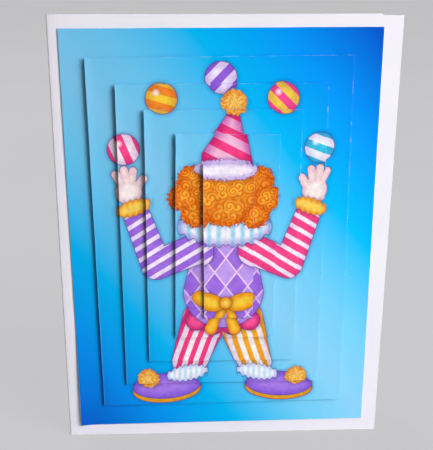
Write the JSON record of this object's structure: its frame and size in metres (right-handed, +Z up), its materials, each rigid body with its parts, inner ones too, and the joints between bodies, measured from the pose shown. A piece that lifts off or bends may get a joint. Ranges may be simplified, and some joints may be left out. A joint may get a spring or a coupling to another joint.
{
  "type": "stepped decoupage greeting card",
  "caption": "Folded greeting card whose clown picture rises in steps: ever smaller prints stacked on foam pads over a base print, with panels that hinge at the crease.",
  "frame": {"origin": "middle of the front panel's foot, where the card stands", "axes": "+X to the card's right, +Y to the back, away from the picture, +Z up"},
  "size_m": [0.153, 0.0343, 0.2032],
  "materials": {
    "card": "matte",
    "print": "satin",
    "tape": "satin",
    "foam": "matte"
  },
  "bodies": {
    "front": {"card_front": "card", "tape_sides": "tape", "tape_ends": "tape", "base_print": "print", "print_1": "print", "print_2": "print", "print_3": "print", "print_4": "print", "print_5": "print", "corner_pads_1": "foam", "corner_pads_2": "foam", "corner_pads_3": "foam", "corner_pads_4": "foam", "corner_pads_5": "foam", "middle_pads_1": "foam", "middle_pads_2": "foam", "middle_pads_3": "foam", "middle_pads_4": "foam", "middle_pads_5": "foam"},
    "back": {"card_back": "card"}
  },
  "joints": [
    {"name": "fold", "type": "hinge", "parent": "front", "child": "back", "pos_m": [-0.0762, 0.00035, 0], "axis": [0, 0, 1], "range_deg": [-10, 170]}
  ]
}
